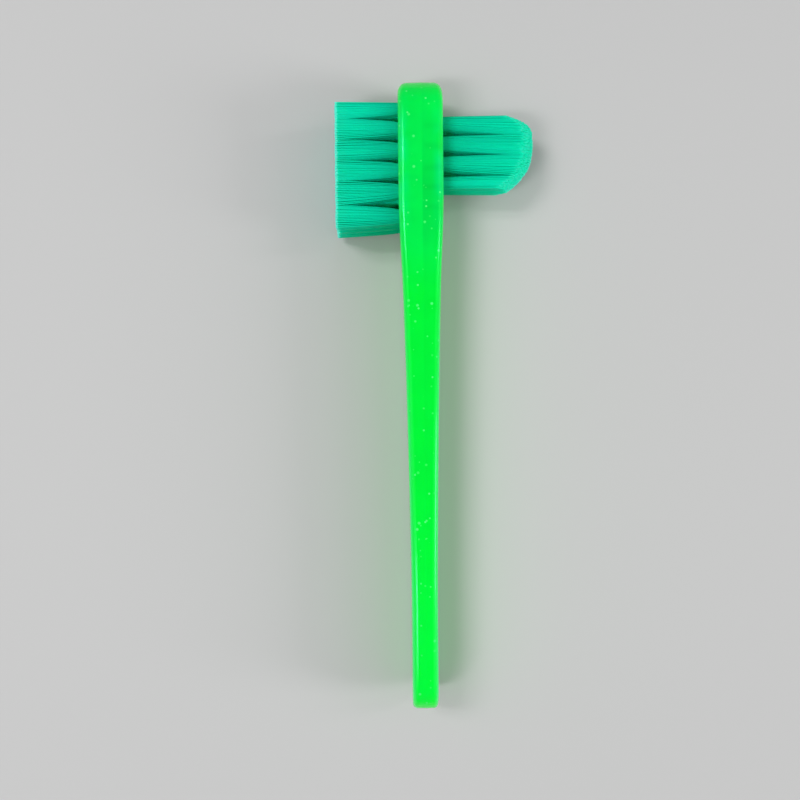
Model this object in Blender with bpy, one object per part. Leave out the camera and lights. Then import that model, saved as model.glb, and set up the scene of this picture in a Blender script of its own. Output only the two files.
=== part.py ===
"""Retainer cleaning brush with two brushes on one head, lying on its narrow edge as on a bench.

The handle runs along Y with its head at +Y. The flat-trimmed brush points to -X and the domed brush
to +X. The origin is on the lower edge face, halfway along the handle and halfway through it. Lengths
are in metres, and a distance along the handle is counted from its head end.
"""

import math

import bmesh
import bpy
from mathutils import Matrix, Vector

MM = 0.001

# Drilled holes. The domed side's rows stand midway between the flat side's rows.
HOLE_DIAMETER = 2.6 * MM
HOLE_DEPTH = 3.75 * MM
HOLE_WEB = 1.35 * MM
ROW_WALL = 1.45 * MM
FLAT_COLUMN_WALL = 1.5 * MM
DOME_COLUMN_WALL = 1.0 * MM
SIDE_WALL = 1.6 * MM
HEAD_END_WALL = 4.7 * MM
END_ROW_EXTRA = 1.0 * MM
FLAT_ROWS = 6
FLAT_COLUMNS = 3
DOME_ROWS = 4
DOME_COLUMNS = 2

ROW_PITCH = HOLE_DIAMETER + ROW_WALL
FLAT_COLUMN_PITCH = HOLE_DIAMETER + FLAT_COLUMN_WALL
DOME_COLUMN_PITCH = HOLE_DIAMETER + DOME_COLUMN_WALL
FIRST_ROW_AT = HEAD_END_WALL + HOLE_DIAMETER / 2
LAST_ROW_AT = FIRST_ROW_AT + ROW_PITCH * (FLAT_ROWS - 1) + END_ROW_EXTRA

# Handle: one moulding of even width, which gets thinner from the head to the tail
HANDLE_LENGTH = 125.0 * MM
HANDLE_WIDTH = FLAT_COLUMN_PITCH * (FLAT_COLUMNS - 1) + HOLE_DIAMETER + 2 * SIDE_WALL
HEAD_THICKNESS = 2 * HOLE_DEPTH + HOLE_WEB
HEAD_RUN = 23.0 * MM
WAIST_THICKNESS = 7.45 * MM
WAIST_AT = 41.0 * MM
GRIP_THICKNESS = 6.45 * MM
GRIP_AT = 60.0 * MM
STEM_THICKNESS = 5.6 * MM
STEM_AT = 82.0 * MM
TAIL_THICKNESS = 5.05 * MM
TAIL_AT = 106.0 * MM
HEAD_CORNER_RADIUS = 6.0 * MM
TAIL_CORNER_RADIUS = 6.5 * MM
SIDE_EDGE_RADIUS = 1.2 * MM
HEAD_EDGE_RADIUS = 1.9 * MM
TAIL_EDGE_RADIUS = 0.8 * MM

# Flat wire anchors: each holds its tuft's folded filaments down, and its ends bite into the hole's wall
ANCHOR_THICKNESS = 0.3 * MM
ANCHOR_HEIGHT = 1.5 * MM
ANCHOR_BITE = 0.2 * MM
ANCHOR_CLEARANCE = 0.05 * MM
ANCHOR_TURN = math.radians(30.0)
FOLD_THICKNESS = 0.6 * MM

# Tufts: a folded root that fills the hole, and rings of strands that spread from it
ROOT_CLEARANCE = 0.05 * MM
ROOT_RECESS = 0.3 * MM
STRAND_WIDTH = 0.36 * MM
STRAND_RIM = 0.1 * MM
STRAND_RINGS = 2
STRANDS_IN_FIRST_RING = 5
TIP_GROWTH = 1.3
TIP_GAP = 0.2 * MM
END_ROW_SHARE = 0.3
HEAD_ROW_SPREAD = 1.6 * MM
TAIL_ROW_SPREAD = 2.6 * MM
OUTER_COLUMN_SPREAD = 1.6 * MM
DOME_SPREAD = 1.6 * MM

# Trims: the flat brush ends in slightly crowned tufts, the other one in a dome that slopes to the tail
FLAT_BRISTLE = 12.5 * MM
TUFT_CROWN = 0.15 * MM
DOME_BRISTLE = 18.4 * MM
DOME_CREST_OFFSET = 2.3 * MM
DOME_END_DROP = 5.7 * MM
DOME_SIDE_DROP = 3.0 * MM
DOME_HEAD_POWER = 4.0
DOME_TAIL_POWER = 2.7
DOME_SIDE_POWER = 2.0

# Fineness of the round stretches, and how far a cutter runs past the face that it starts from
CORNER_STEPS = 10
EDGE_STEPS = 4
TAPER_STEP = 6.0 * MM
ROUND_SIDES = 16
CUTTER_OVERRUN = 1.0 * MM
FULLEST_CORNER = 0.95
SMOOTH_BELOW = math.radians(40.0)

MID_HEIGHT = HANDLE_WIDTH / 2
ROOT_RADIUS = HOLE_DIAMETER / 2 - ROOT_CLEARANCE
ANCHOR_LENGTH = HOLE_DIAMETER + 2 * ANCHOR_BITE
ANCHOR_FACET_SHIFT = 0.5
COLUMN_LETTERS = "abcdefgh"

GREEN = ("clear_green_plastic", (0.02, 0.87, 0.07), 0.2, 0.0)
TEAL = ("teal_nylon", (0.01, 0.46, 0.30), 0.45, 0.0)
BRASS = ("anchor_brass", (0.65, 0.48, 0.20), 0.35, 1.0)


def clear_scene():
    for item in list(bpy.data.objects):
        bpy.data.objects.remove(item, do_unlink=True)


def new_material(name, colour, roughness, metallic):
    material = bpy.data.materials.new(name)
    material.use_nodes = True
    shader = material.node_tree.nodes["Principled BSDF"]
    shader.inputs["Base Color"].default_value = (*colour, 1.0)
    shader.inputs["Roughness"].default_value = roughness
    shader.inputs["Metallic"].default_value = metallic
    material.diffuse_color = (*colour, 1.0)
    return material


def new_object(name, bm, material=None, collection=None):
    """Turns a bmesh into a scene object whose faces point out."""
    bmesh.ops.recalc_face_normals(bm, faces=bm.faces)
    mesh = bpy.data.meshes.new(name)
    bm.to_mesh(mesh)
    bm.free()
    if material:
        mesh.materials.append(material)
    item = bpy.data.objects.new(name, mesh)
    (collection or bpy.context.scene.collection).objects.link(item)
    return item


def new_cutter(name, bm, collection):
    item = new_object(name, bm, collection=collection)
    item.hide_render = True
    item.display_type = "WIRE"
    return item


def cut(item, name, cutters):
    """Takes one cutter object, or every cutter in a collection, out of item."""
    modifier = item.modifiers.new(name, "BOOLEAN")
    modifier.operation = "DIFFERENCE"
    modifier.solver = "EXACT"
    if isinstance(cutters, bpy.types.Collection):
        modifier.operand_type = "COLLECTION"
        modifier.collection = cutters
    else:
        modifier.object = cutters


def along(distance):
    """Y of a distance from the head end."""
    return HANDLE_LENGTH / 2 - distance


def thickness_at(distance):
    """Thickness of the handle at a distance from its head end, on a smooth curve through its knots."""
    knots = (
        (HEAD_RUN, HEAD_THICKNESS),
        (WAIST_AT, WAIST_THICKNESS),
        (GRIP_AT, GRIP_THICKNESS),
        (STEM_AT, STEM_THICKNESS),
        (TAIL_AT, TAIL_THICKNESS),
    )
    if distance <= HEAD_RUN:
        return HEAD_THICKNESS
    slopes = [(after[1] - before[1]) / (after[0] - before[0]) for before, after in zip(knots, knots[2:])]
    slopes = [0.0, *slopes, 0.0]
    for i, ((start, first), (end, last)) in enumerate(zip(knots, knots[1:])):
        if distance <= end:
            span = end - start
            t = (distance - start) / span
            ease = t * t * (3 - 2 * t)
            rise = span * (slopes[i] * t * (1 - t) ** 2 - slopes[i + 1] * t * t * (1 - t))
            return first + (last - first) * ease + rise
    return TAIL_THICKNESS


def outline_side():
    """One side of the plan outline from head to tail, as (distance, height off the middle, normal, radius).

    The radius is that of the rounded edge there, which grows towards both ends.
    """
    half = HANDLE_WIDTH / 2
    head_radius = min(HEAD_CORNER_RADIUS, FULLEST_CORNER * half)
    tail_radius = min(TAIL_CORNER_RADIUS, FULLEST_CORNER * half)
    tail_start = HANDLE_LENGTH - tail_radius
    quarter = [math.pi / 2 * i / CORNER_STEPS for i in range(CORNER_STEPS + 1)]
    points = []
    for turn in quarter:
        normal = (-math.cos(turn), math.sin(turn))
        edge = SIDE_EDGE_RADIUS + (HEAD_EDGE_RADIUS - SIDE_EDGE_RADIUS) * math.cos(turn) ** 2
        place = (head_radius * (1 + normal[0]), half - head_radius * (1 - normal[1]))
        points.append((*place, normal, edge))
    steps = math.ceil((tail_start - HEAD_RUN) / TAPER_STEP)
    for i in range(steps):
        distance = HEAD_RUN + (tail_start - HEAD_RUN) * i / steps
        points.append((distance, half, (0.0, 1.0), SIDE_EDGE_RADIUS))
    for turn in quarter:
        normal = (math.sin(turn), math.cos(turn))
        edge = SIDE_EDGE_RADIUS + (TAIL_EDGE_RADIUS - SIDE_EDGE_RADIUS) * math.sin(turn) ** 2
        place = (tail_start + tail_radius * normal[0], half - tail_radius * (1 - normal[1]))
        points.append((*place, normal, edge))
    return points


def handle_ring(bm, face, turn):
    """One step of the rounded edge towards a face (-1 or 1): its upper row and its lower row of points."""
    rows = []
    for sign in (1, -1):
        row = []
        for distance, height, normal, edge in outline_side():
            inset = edge * (1 - math.cos(turn))
            here = distance - inset * normal[0]
            z = MID_HEIGHT + sign * (height - inset * normal[1])
            x = thickness_at(here) / 2 - edge * (1 - math.sin(turn))
            row.append(bm.verts.new((face * x, along(here), z)))
        rows.append(row)
    return rows


def handle_mesh():
    """Sweeps the outline through the rounded edge from face to face, and closes each broad face in strips."""
    bm = bmesh.new()
    turns = [math.pi / 2 * i / EDGE_STEPS for i in range(EDGE_STEPS + 1)]
    rings = [handle_ring(bm, -1, turn) for turn in reversed(turns)]
    rings += [handle_ring(bm, 1, turn) for turn in turns]
    for (upper_a, lower_a), (upper_b, lower_b) in zip(rings, rings[1:]):
        loop_a = upper_a + lower_a[::-1]
        loop_b = upper_b + lower_b[::-1]
        for i in range(len(loop_a)):
            j = (i + 1) % len(loop_a)
            bm.faces.new((loop_a[i], loop_a[j], loop_b[j], loop_b[i]))
    for upper, lower in (rings[0], rings[-1]):
        for i in range(len(upper) - 1):
            bm.faces.new((upper[i], upper[i + 1], lower[i + 1], lower[i]))
    return bm


def circle(radius):
    """Points of a round outline in Y and Z, turned so that an anchor meets it in the middle of a side."""
    points = []
    for i in range(ROUND_SIDES):
        turn = ANCHOR_TURN + 2 * math.pi * (i + ANCHOR_FACET_SHIFT) / ROUND_SIDES
        points.append((radius * math.cos(turn), radius * math.sin(turn)))
    return points


def prism_mesh(outline, near, far):
    """A closed prism along X, from near to far, over an outline in Y and Z."""
    bm = bmesh.new()
    ends = [[bm.verts.new((x, y, z)) for y, z in outline] for x in (near, far)]
    for end in ends:
        bm.faces.new(end)
    for i in range(len(outline)):
        j = (i + 1) % len(outline)
        bm.faces.new((ends[0][i], ends[0][j], ends[1][j], ends[1][i]))
    return bm


def bar_outline(length, width):
    """A rectangle in Y and Z whose long side lies along the anchors."""
    turn = Matrix.Rotation(ANCHOR_TURN, 2)
    corners = ((-1, -1), (1, -1), (1, 1), (-1, 1))
    return [tuple(turn @ Vector((a * length / 2, b * width / 2))) for a, b in corners]


class Hole:
    """One drilled hole, with the tuft and the anchor that it holds. X is measured out from its mouth."""

    def __init__(self, brush, row, column, distance, off_middle):
        self.brush = brush
        self.label = f"{row + 1}{COLUMN_LETTERS[column]}"
        self.side = -1 if brush == "flat" else 1
        self.face = thickness_at(distance) / 2
        self.depth = self.face - HOLE_WEB / 2
        self.mouth = Vector((self.side * self.face, along(distance), MID_HEIGHT + off_middle))
        self.anchor_near = FOLD_THICKNESS - self.depth
        self.anchor_far = self.anchor_near + ANCHOR_HEIGHT

    def out(self, amount):
        """X from the mouth's place of a height above the mouth."""
        return self.side * amount


def spread_limits(index, count, pitch, free_first, free_last, extra=0.0):
    """How far a tuft's tips reach towards the first and the last of its line, from its own hole's middle.

    The last tuft of the line stands further off by extra, and it and its neighbour fan out over that room.
    """
    shared = (pitch - TIP_GAP) / 2
    first = free_first if index == 0 else shared
    last = free_last if index == count - 1 else shared
    if index == count - 1:
        first += extra * END_ROW_SHARE
    if index == count - 2:
        last += extra * (1 - END_ROW_SHARE)
    return first, last


def strand_places():
    """Middles of the strands in the root, as (y, z, turn): one in the centre and rings round it."""
    step = (ROOT_RADIUS - STRAND_RIM - STRAND_WIDTH / 2) / STRAND_RINGS
    places = [(0.0, 0.0, 0.0)]
    for ring in range(1, STRAND_RINGS + 1):
        count = STRANDS_IN_FIRST_RING * ring
        for i in range(count):
            turn = 2 * math.pi * (i + ring / 2) / count
            places.append((ring * step * math.cos(turn), ring * step * math.sin(turn), turn))
    return places


def square(y, z, turn, width):
    """Corners of a strand's square section, one side of which faces the root's centre."""
    corners = []
    for a, b in ((-1, -1), (1, -1), (1, 1), (-1, 1)):
        along_y = (a * math.cos(turn) - b * math.sin(turn)) * width / 2
        along_z = (a * math.sin(turn) + b * math.cos(turn)) * width / 2
        corners.append((y + along_y, z + along_z))
    return corners


def flat_trim(y, z):
    """Height of the flat brush above the head's middle plane."""
    return HEAD_THICKNESS / 2 + FLAT_BRISTLE - TUFT_CROWN


def dome_trim(y, z):
    """Height of the domed brush above the head's middle plane, highest near the head and over the middle."""
    half_length = ROW_PITCH * (DOME_ROWS - 1) / 2 + DOME_SPREAD
    half_width = DOME_COLUMN_PITCH * (DOME_COLUMNS - 1) / 2 + DOME_SPREAD
    middle = along(FIRST_ROW_AT + ROW_PITCH * DOME_ROWS / 2)
    crest = middle + DOME_CREST_OFFSET
    if y > crest:
        share = (y - crest) / (half_length - DOME_CREST_OFFSET)
        end_drop = DOME_END_DROP * share**DOME_HEAD_POWER
    else:
        share = (crest - y) / (half_length + DOME_CREST_OFFSET)
        end_drop = DOME_END_DROP * share**DOME_TAIL_POWER
    side_drop = DOME_SIDE_DROP * (abs(z - MID_HEIGHT) / half_width) ** DOME_SIDE_POWER
    return HEAD_THICKNESS / 2 + DOME_BRISTLE - TUFT_CROWN - end_drop - side_drop


def tuft_mesh(hole, head_reach, tail_reach, top_reach, floor_reach, trim):
    """A tuft about its hole's mouth: the root is a closed prism, and each strand grows from its top.

    The reaches say how far the tips go towards the head, the tail, the top and the floor.
    """
    bm = bmesh.new()
    recess = hole.out(-ROOT_RECESS)
    bottom = hole.out(-hole.depth + ROOT_CLEARANCE)
    rim = [bm.verts.new((recess, y, z)) for y, z in circle(ROOT_RADIUS)]
    low = [bm.verts.new((bottom, y, z)) for y, z in circle(ROOT_RADIUS)]
    bm.faces.new(low)
    for i in range(ROUND_SIDES):
        j = (i + 1) % ROUND_SIDES
        bm.faces.new((rim[i], rim[j], low[j], low[i]))
    edges = [bm.edges.get((rim[i], rim[i - 1])) for i in range(ROUND_SIDES)]
    places = strand_places()
    outermost = max(math.hypot(y, z) for y, z, turn in places)
    half_tip = STRAND_WIDTH * TIP_GROWTH / 2
    scale_y = ((head_reach + tail_reach) / 2 - half_tip) / outermost
    scale_z = ((top_reach + floor_reach) / 2 - half_tip) / outermost
    lean_y = (head_reach - tail_reach) / 2
    lean_z = (top_reach - floor_reach) / 2
    for y, z, turn in places:
        base = [bm.verts.new((recess, *corner)) for corner in square(y, z, turn, STRAND_WIDTH)]
        crown = TUFT_CROWN * (1 - (y * y + z * z) / (outermost * outermost))
        tip = []
        tip_place = (y * scale_y + lean_y, z * scale_z + lean_z)
        for corner in square(*tip_place, turn, STRAND_WIDTH * TIP_GROWTH):
            height = trim(hole.mouth.y + corner[0], hole.mouth.z + corner[1]) + crown - hole.face
            tip.append(bm.verts.new((hole.out(height), *corner)))
        for i in range(4):
            j = (i + 1) % 4
            bm.faces.new((base[i], base[j], tip[j], tip[i]))
            edges.append(bm.edges.get((base[i], base[j])))
        bm.faces.new(tip)
    bmesh.ops.triangle_fill(bm, edges=edges, use_beauty=True, normal=(1.0, 0.0, 0.0))
    return bm


def brush_holes():
    """Every hole of both sides, each with the reaches of its tuft's tips."""
    found = []
    for row in range(FLAT_ROWS):
        distance = LAST_ROW_AT if row == FLAT_ROWS - 1 else FIRST_ROW_AT + row * ROW_PITCH
        free = (HEAD_ROW_SPREAD, TAIL_ROW_SPREAD)
        rows = spread_limits(row, FLAT_ROWS, ROW_PITCH, *free, END_ROW_EXTRA)
        for column in range(FLAT_COLUMNS):
            off_middle = (column - (FLAT_COLUMNS - 1) / 2) * FLAT_COLUMN_PITCH
            free = (OUTER_COLUMN_SPREAD, OUTER_COLUMN_SPREAD)
            floor_reach, top_reach = spread_limits(column, FLAT_COLUMNS, FLAT_COLUMN_PITCH, *free)
            hole = Hole("flat", row, column, distance, off_middle)
            found.append((hole, (*rows, top_reach, floor_reach, flat_trim)))
    for row in range(DOME_ROWS):
        distance = FIRST_ROW_AT + (row + 0.5) * ROW_PITCH
        rows = spread_limits(row, DOME_ROWS, ROW_PITCH, DOME_SPREAD, DOME_SPREAD)
        for column in range(DOME_COLUMNS):
            off_middle = (column - (DOME_COLUMNS - 1) / 2) * DOME_COLUMN_PITCH
            free = (DOME_SPREAD, DOME_SPREAD)
            floor_reach, top_reach = spread_limits(column, DOME_COLUMNS, DOME_COLUMN_PITCH, *free)
            hole = Hole("dome", row, column, distance, off_middle)
            found.append((hole, (*rows, top_reach, floor_reach, dome_trim)))
    return found


def span_mesh(outline, hole, near, far):
    """A prism over an outline, between two heights above the hole's mouth."""
    return prism_mesh(outline, hole.out(near), hole.out(far))


def drill(hole, drills, grooves):
    """The cutters of one hole: its round bore, and the groove that the anchor leaves on its way in."""
    bore = span_mesh(circle(HOLE_DIAMETER / 2), hole, -hole.depth, CUTTER_OVERRUN)
    new_cutter(f"bore_{hole.brush}_{hole.label}", bore, drills).location = hole.mouth
    length = ANCHOR_LENGTH + 2 * ANCHOR_CLEARANCE
    width = ANCHOR_THICKNESS + 2 * ANCHOR_CLEARANCE
    low = hole.anchor_near - ANCHOR_CLEARANCE
    groove = span_mesh(bar_outline(length, width), hole, low, CUTTER_OVERRUN)
    new_cutter(f"groove_{hole.brush}_{hole.label}", groove, grooves).location = hole.mouth


def add_tuft(hole, reaches, material, windows):
    """The tuft, with the window through its root where its anchor lies."""
    bm = tuft_mesh(hole, *reaches)
    tuft = new_object(f"{hole.brush}_tuft_{hole.label}", bm, material)
    tuft.location = hole.mouth
    width = ANCHOR_THICKNESS + 2 * ANCHOR_CLEARANCE
    low = hole.anchor_near - ANCHOR_CLEARANCE
    high = hole.anchor_far + ANCHOR_CLEARANCE
    outline = bar_outline(ANCHOR_LENGTH + CUTTER_OVERRUN, width)
    bar = span_mesh(outline, hole, low, high)
    window = new_cutter(f"window_{hole.brush}_{hole.label}", bar, windows)
    window.location = hole.mouth
    cut(tuft, "anchor window", window)
    return tuft


def add_anchor(hole, material):
    bar = span_mesh(bar_outline(ANCHOR_LENGTH, ANCHOR_THICKNESS), hole, hole.anchor_near, hole.anchor_far)
    anchor = new_object(f"{hole.brush}_anchor_{hole.label}", bar, material)
    anchor.location = hole.mouth
    return anchor


def new_collection(name):
    collection = bpy.data.collections.new(name)
    bpy.context.scene.collection.children.link(collection)
    return collection


def main():
    clear_scene()
    green = new_material(*GREEN)
    teal = new_material(*TEAL)
    brass = new_material(*BRASS)
    handle = new_object("handle", handle_mesh(), green)
    drills = new_collection("drills")
    grooves = new_collection("grooves")
    windows = new_collection("windows")
    for hole, reaches in brush_holes():
        drill(hole, drills, grooves)
        add_tuft(hole, reaches, teal, windows)
        add_anchor(hole, brass)
    cut(handle, "tuft holes", drills)
    cut(handle, "anchor grooves", grooves)
    handle.data.shade_smooth()
    handle.data.set_sharp_from_angle(angle=SMOOTH_BELOW)


main()
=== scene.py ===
"""Looks of the retainer cleaning brush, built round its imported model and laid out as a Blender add-on."""

import math
import random

import bmesh
import bpy
from bpy.props import FloatProperty, FloatVectorProperty, IntProperty, PointerProperty
from mathutils import Matrix, Vector


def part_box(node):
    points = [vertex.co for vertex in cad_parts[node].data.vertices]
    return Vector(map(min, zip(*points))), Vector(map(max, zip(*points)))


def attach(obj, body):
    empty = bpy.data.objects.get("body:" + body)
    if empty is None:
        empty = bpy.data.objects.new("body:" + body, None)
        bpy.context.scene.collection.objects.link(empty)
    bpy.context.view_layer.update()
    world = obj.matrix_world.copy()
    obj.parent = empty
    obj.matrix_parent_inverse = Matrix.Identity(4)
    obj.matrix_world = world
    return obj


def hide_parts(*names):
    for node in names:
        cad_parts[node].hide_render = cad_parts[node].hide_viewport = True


bl_info = {
    "name": "Retainer Cleaning Brush",
    "version": (1, 0, 0),
    "blender": (4, 5, 0),
    "location": "View3D > Sidebar > Brush",
    "description": "Builds a two-sided brush for dental retainers, with its tufts, handle and studio",
    "category": "Add Mesh",
}

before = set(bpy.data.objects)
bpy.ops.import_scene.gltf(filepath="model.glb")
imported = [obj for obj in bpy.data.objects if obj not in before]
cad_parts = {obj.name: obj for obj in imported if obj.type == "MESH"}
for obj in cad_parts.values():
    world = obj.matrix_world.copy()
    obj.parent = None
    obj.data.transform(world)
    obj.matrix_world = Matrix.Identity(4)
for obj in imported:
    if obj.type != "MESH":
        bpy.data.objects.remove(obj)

MM = 0.001
BODY = "root"
HANDLE_LOW, HANDLE_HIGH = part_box("handle")
HANDLE_LENGTH = HANDLE_HIGH.y - HANDLE_LOW.y
HANDLE_WIDTH = HANDLE_HIGH.z - HANDLE_LOW.z
HEAD_THICKNESS = HANDLE_HIGH.x - HANDLE_LOW.x
HEAD_END = HANDLE_HIGH.y
MIDDLE = (HANDLE_LOW + HANDLE_HIGH) / 2
TUFT_NODES = sorted(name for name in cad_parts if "_tuft_" in name)
ANCHOR_NODES = sorted(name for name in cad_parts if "_anchor_" in name)


def row_place(node):
    """Y of the row that an anchor stands in."""
    low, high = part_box(node)
    return (low.y + high.y) / 2


FIRST_FLAT_ROW = row_place("flat_anchor_1a")
FIRST_DOME_ROW = row_place("dome_anchor_1a")
ROW_PITCH = FIRST_FLAT_ROW - row_place("flat_anchor_2a")


def length(name, description, millimetres):
    """A length, which is written in millimetres and kept in metres."""
    return FloatProperty(
        name=name, description=description, default=millimetres * MM, unit="LENGTH", precision=5
    )


def amount(name, description, value):
    """A plain number."""
    return FloatProperty(name=name, description=description, default=value)


def colour(name, description, value):
    """A colour in linear red, green and blue."""
    return FloatVectorProperty(
        name=name, description=description, default=value, subtype="COLOR", size=3, min=0.0, max=1.0
    )


class HandleSettings(bpy.types.PropertyGroup):
    """Sizes and colours of the moulded handle."""

    head_run: length("Head run", "Length of the head's even thickness", 23.0)
    waist_at: length("Waist at", "Where the waist is, from the head end", 41.0)
    waist_thickness: length("Waist thickness", "Thickness there", 7.45)
    grip_at: length("Grip at", "Where the grip starts, from the head end", 60.0)
    grip_thickness: length("Grip thickness", "Thickness there", 6.45)
    stem_at: length("Stem at", "Where the stem is, from the head end", 82.0)
    stem_thickness: length("Stem thickness", "Thickness there", 5.6)
    tail_at: length("Tail at", "Where the tail starts, from the head end", 106.0)
    tail_thickness: length("Tail thickness", "Thickness from there to the end", 5.05)
    head_corner: length("Head corner", "Corner radius of the head in plan", 6.0)
    tail_corner: length("Tail corner", "Corner radius of the tail in plan", 6.5)
    side_edge: length("Side edge", "Radius along the broad faces' edges", 1.2)
    head_edge: length("Head edge", "That radius at the head end", 1.9)
    tail_edge: length("Tail edge", "That radius at the tail end", 0.8)
    draft: length("Draft", "Rise of the narrow side from its edges to the parting line", 0.08)
    seam_offset: length("Seam offset", "How far the parting line is from the middle, towards the dome", 0.25)
    seam_width: length("Seam width", "Width of the parting line's ridge", 0.26)
    seam_height: length("Seam height", "Height of the parting line's ridge", 0.02)
    hole: length("Hole", "Diameter of a tuft's hole", 2.6)
    groove: length("Groove", "Width of the mark that an anchor leaves", 0.4)
    plastic: colour("Plastic", "Colour of the clear plastic", (0.0, 0.9, 0.045))
    # Colour that the plastic is given towards the head, deeper and bluer than at the tail
    deep_tone: colour("Thick", "Its deeper colour in the thick head", (0.0, 0.87, 0.088))
    # Painted light: pale glow and sheen along the rounded edges
    rim: colour("Rim", "Its pale colour along the rounded edges", (0.05, 1.0, 0.22))
    # Partly the roots seen through the plastic, partly painted reflection of the tufts
    roots: colour("Roots", "Its colour near the tufts' roots", (0.0, 0.91, 0.26))
    glitter: colour("Glitter", "Colour of the flakes in it", (0.13, 1.0, 0.3))
    # Strength of that painted light along the edges
    edge_light_show: amount("Rim show", "Strength of the rim colour", 1.0)
    # Strength of the roots' colour and of the tufts' painted reflection
    root_show: amount("Root show", "Strength of the root colour", 0.8)
    row_shade: amount("Row shade", "How dark the rows show in the head", 0.06)
    # Painted shade: how much darker the domed half is made, as though less light fell on it
    half_shade: amount("Half contrast", "How much duller the domed half is", 0.14)


class TuftSettings(bpy.types.PropertyGroup):
    """Sizes and colours of the bristles."""

    filament: length("Filament", "Diameter of a filament where it leaves the hole", 0.195)
    filament_tip: length("Filament tip", "Diameter of a filament at its tip", 0.265)
    spacing: length("Spacing", "Distance between filaments where they leave the hole", 0.142)
    wander: length("Wander", "How far a tip strays from its even place", 0.028)
    ragged: length("Ragged", "How unevenly the flat brush's ends are cut", 0.08)
    frayed: length("Frayed", "How unevenly the domed brush's ends are cut", 0.28)
    mingle: length("Mingle", "How far a tuft's tips reach in among its neighbours' tips", 0.32)
    squareness: amount("Squareness", "How far round tufts turn square at the tips", 0.8)
    crown: length("Crown", "Height of a tuft's middle over its rim", 0.14)
    lean: length("Lean", "How much further the flat brush's ends reach at the handle's lower edge", 0.45)
    drift: length("Drift", "How far the domed brush's tufts lean towards the tail at their tips", 0.6)
    dome: length("Dome", "Height of the dome's crest over the head's face", 18.4)
    crest: length("Crest", "Distance of the dome's crest from its middle, towards the head", 2.3)
    end_drop: length("End drop", "Fall of the dome to its two ends", 5.7)
    side_drop: length("Side drop", "Fall of the dome to its two sides", 3.0)
    sections: IntProperty(name="Sections", description="Stretches in a filament's length", default=5, min=2)
    nylon: colour("Nylon", "Colour of a filament", (0.0, 0.72, 0.432))
    cut_end: colour("Cut end", "Colour of a filament's cut end", (0.14, 1.0, 0.78))
    flank_shade: amount("Flank shade", "How much darker a tuft's two flanks are", 0.29)
    # Painted light deep in a brush, for the light that comes through neighbouring filaments
    inner_light: amount("Inner tone", "How much paler roots deep in a brush are", 1.3)
    seed: IntProperty(name="Seed", description="Seed of the filaments' small differences", default=7)


class StageSettings(bpy.types.PropertyGroup):
    """The camera, floor and lamps."""

    camera_height: length("Camera height", "Height of the camera over the handle's middle plane", 158.9)
    view_span: length("View span", "Side of the square that the camera sees on that plane", 161.9)
    roll: FloatProperty(
        name="Roll", description="Turn of the camera", default=math.radians(-0.56), subtype="ANGLE"
    )
    aim_x: length("Aim X", "Where the camera looks, across the handle", -4.5)
    aim_y: length("Aim Y", "Where the camera looks, along the handle", -0.8)
    floor: colour("Floor", "Colour of the floor", (0.55, 0.55, 0.55))


def deselect_all():
    if bpy.context.mode != "OBJECT":
        bpy.ops.object.mode_set(mode="OBJECT")
    bpy.ops.object.select_all(action="DESELECT")


def activate(item):
    deselect_all()
    item.select_set(True)
    bpy.context.view_layer.objects.active = item


def start_edit(item, kind):
    """Enters edit mode on item with nothing selected. Kind is VERT, EDGE or FACE."""
    activate(item)
    bpy.ops.object.mode_set(mode="EDIT")
    bpy.ops.mesh.select_mode(type=kind)
    bpy.ops.mesh.select_all(action="DESELECT")


def end_edit():
    bpy.ops.object.mode_set(mode="OBJECT")


def select_where(item, kind, test):
    """Selects the verts, edges or faces of the mesh in edit mode that pass a test, and nothing else."""
    bpy.ops.mesh.select_all(action="DESELECT")
    bm = bmesh.from_edit_mesh(item.data)
    bm.normal_update()
    for part in getattr(bm, kind):
        if test(part):
            part.select_set(True)
    bmesh.update_edit_mesh(item.data)


def apply_place(item):
    activate(item)
    bpy.ops.object.transform_apply(location=True, rotation=True, scale=True)


def apply_modifier(item, modifier):
    activate(item)
    bpy.ops.object.modifier_apply(modifier=modifier.name)


def finish_piece(item, name, material, slot, *nodes):
    """Names a finished piece, gives it its material, and ties it to the frame."""
    apply_place(item)
    item.name = name
    item.data.name = name
    item.data.materials.clear()
    item.data.materials.append(material)
    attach(item, BODY)
    if nodes:
        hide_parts(*nodes)


def new_material(name):
    material = bpy.data.materials.new(name)
    material.use_nodes = True
    return material, material.node_tree, material.node_tree.nodes["Principled BSDF"]


def add_node(tree, kind, **values):
    """Adds a node, with its own settings by name and its sockets' values by number."""
    node = tree.nodes.new(kind)
    for key, value in values.items():
        if key.startswith("input_"):
            node.inputs[int(key[len("input_"):])].default_value = value
        else:
            setattr(node, key, value)
    return node


def feed(tree, socket, value):
    """Gives a socket a link where the value is a socket too, and otherwise the value itself."""
    if isinstance(value, bpy.types.NodeSocket):
        tree.links.new(value, socket)
    else:
        socket.default_value = value


def work_out(tree, operation, *values):
    """A Math node's result."""
    node = add_node(tree, "ShaderNodeMath", operation=operation)
    for socket, value in zip(node.inputs, values):
        feed(tree, socket, value)
    return node.outputs[0]


def product(tree, first, *others):
    """The product of values of which the first is a socket."""
    for other in others:
        first = work_out(tree, "MULTIPLY", first, other)
    return first


def between(tree, share, first, second):
    """The first number where the share is 0, and the second where it is 1."""
    return work_out(tree, "MULTIPLY_ADD", share, second - first, first)


def fade(tree, value, nothing_at, all_at):
    """0 where the value is at the first limit, 1 at the second, and smooth between them."""
    node = add_node(
        tree, "ShaderNodeMapRange", interpolation_type="SMOOTHSTEP", input_1=nothing_at, input_2=all_at
    )
    feed(tree, node.inputs["Value"], value)
    return node.outputs["Result"]


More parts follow.
